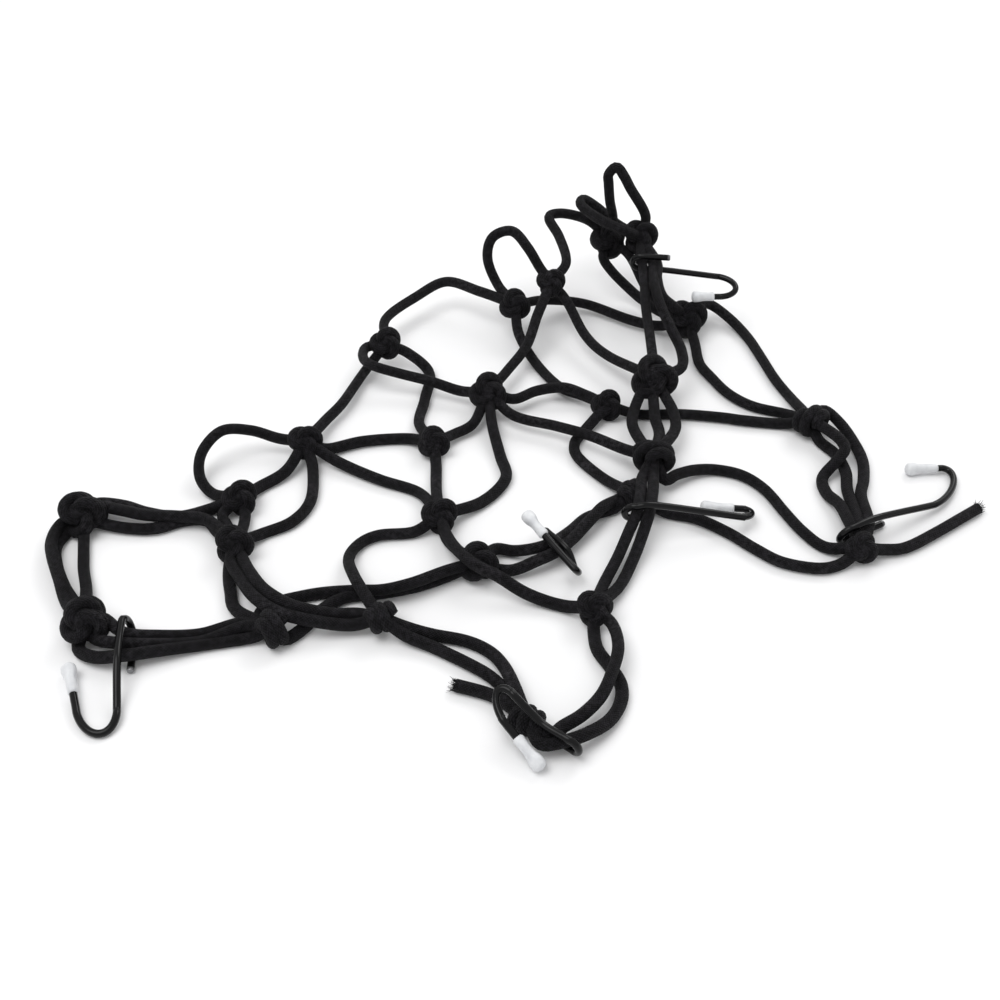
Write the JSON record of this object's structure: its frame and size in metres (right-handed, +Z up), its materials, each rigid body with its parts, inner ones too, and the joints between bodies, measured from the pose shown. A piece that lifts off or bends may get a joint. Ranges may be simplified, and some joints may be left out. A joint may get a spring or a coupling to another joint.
{
  "type": "elastic cargo net with hooks",
  "caption": "Rumpled net of knotted black elastic cord with open wire hooks and pale tip caps, lying slack on a surface.",
  "frame": {"origin": "middle of the bounding box, on the surface that the net lies on", "axes": "+X to the right along the longest extent, +Y to the back of the picture, +Z up"},
  "size_m": [0.3577, 0.3001, 0.0635],
  "materials": {
    "cord": "braided elastic cord sheath, near black with a faint sheen",
    "wire": "glossy black coated wire",
    "cap": "soft pale plastic, slightly waxy"
  },
  "bodies": {
    "root": {"net": "cord", "hook_1": "wire", "hook_2": "wire", "hook_3": "wire", "hook_4": "wire", "hook_5": "wire", "hook_6": "wire", "cap_1": "cap", "cap_2": "cap", "cap_3": "cap", "cap_4": "cap", "cap_5": "cap", "cap_6": "cap"}
  },
  "joints": []
}
